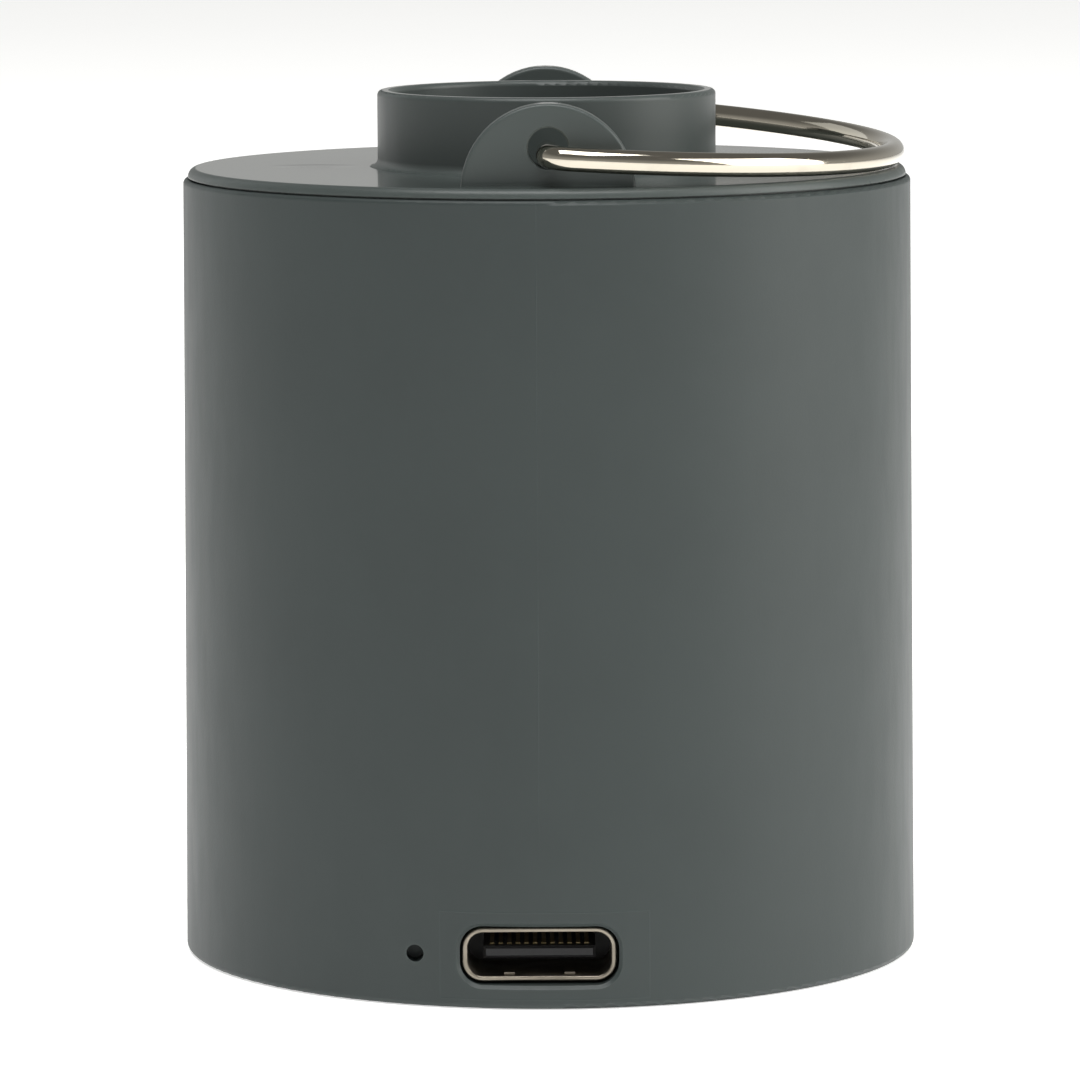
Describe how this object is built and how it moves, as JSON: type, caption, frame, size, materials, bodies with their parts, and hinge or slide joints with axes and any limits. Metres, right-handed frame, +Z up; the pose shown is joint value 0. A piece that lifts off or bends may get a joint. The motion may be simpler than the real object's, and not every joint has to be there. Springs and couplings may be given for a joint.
{
  "type": "air pump",
  "caption": "Pocket-size rechargeable air pump: tapered cylinder, top outlet collar, wire bail hinged in two ears, USB-C socket and indicator low on the front.",
  "frame": {"origin": "centre of the foot, on the surface that the pump stands on", "axes": "+Z up through the outlet collar, -Y towards the charging socket, +X to the right of it"},
  "size_m": [0.0444, 0.0444, 0.0525],
  "materials": {
    "body_plastic": "moulded satin, fine even texture, dark grey-green",
    "cover_plastic": "semi-gloss moulded plate, dark grey-green",
    "base_plastic": "moulded satin, dark grey-green",
    "button_plastic": "moulded satin, slightly darker",
    "plated_wire": "bright nickel-plated steel wire",
    "plated_screws": "zinc-nickel plated steel",
    "socket_metal": "stamped and rolled steel, dull nickel",
    "black_plastic": "black moulded plastic",
    "white_plastic": "natural white moulded plastic",
    "fan_plastic": "pale grey moulded plastic",
    "gold_contacts": "gold-flashed contacts",
    "led_lens": "smoked lens, unlit",
    "circuit_board": "green solder mask over glass laminate",
    "chip_black": "moulded chip packages",
    "motor_steel": "zinc-plated steel",
    "core_steel": "stacked steel laminations",
    "bronze": "sintered bronze",
    "copper": "copper",
    "magnet": "ferrite",
    "seal_rubber": "soft black rubber",
    "pad_foam": "double-sided foam tape",
    "cell_foil": "dull laminated foil pouch",
    "cell_tab_nickel": "nickel strip",
    "lead_red": "red insulation",
    "lead_black": "black insulation",
    "lead_white": "white insulation"
  },
  "bodies": {
    "root": {"housing": "body_plastic", "top_cover": "cover_plastic", "base_cover": "base_plastic", "base_screws": "plated_screws", "usb_shell": "socket_metal", "usb_insulator": "black_plastic", "usb_contacts": "gold_contacts", "charge_led": "led_lens", "main_board": "circuit_board", "board_components": "chip_black", "switch_body": "black_plastic", "switch_board": "circuit_board", "motor_can": "motor_steel", "motor_end_cap": "white_plastic", "lower_bush": "bronze", "upper_bush": "bronze", "motor_terminals": "copper", "motor_brushes": "copper", "motor_magnets": "magnet", "motor_screws": "plated_screws", "motor_bracket": "black_plastic", "inlet_plate": "black_plastic", "diffuser": "black_plastic", "top_seal": "seal_rubber", "battery_cells": "cell_foil", "cell_pads": "pad_foam", "cell_tabs": "cell_tab_nickel", "battery_leads": "lead_red", "motor_leads": "lead_black", "switch_leads": "lead_white"},
    "bail": {"bail": "plated_wire"},
    "button": {"power_button": "button_plastic", "switch_plunger": "black_plastic"},
    "rotor": {"motor_shaft": "motor_steel", "motor_core": "core_steel", "motor_windings": "copper", "commutator": "copper", "impeller": "fan_plastic"}
  },
  "joints": [
    {"name": "bail_hinge", "type": "hinge", "parent": "root", "child": "bail", "pos_m": [0, 0, 0.04965], "axis": [0, -0.9998, -0.0222], "range_deg": [0, 172.46]},
    {"name": "button_press", "type": "slide", "parent": "root", "child": "button", "axis": [0, -1, 0], "range_m": [0, 0.0003], "stiffness_N_per_m": 4000, "springref_m": -0.0001},
    {"name": "rotor_spin", "type": "hinge", "parent": "root", "child": "rotor", "pos_m": [0, 0, 0.0368], "axis": [0, 0, 1], "continuous": true}
  ]
}
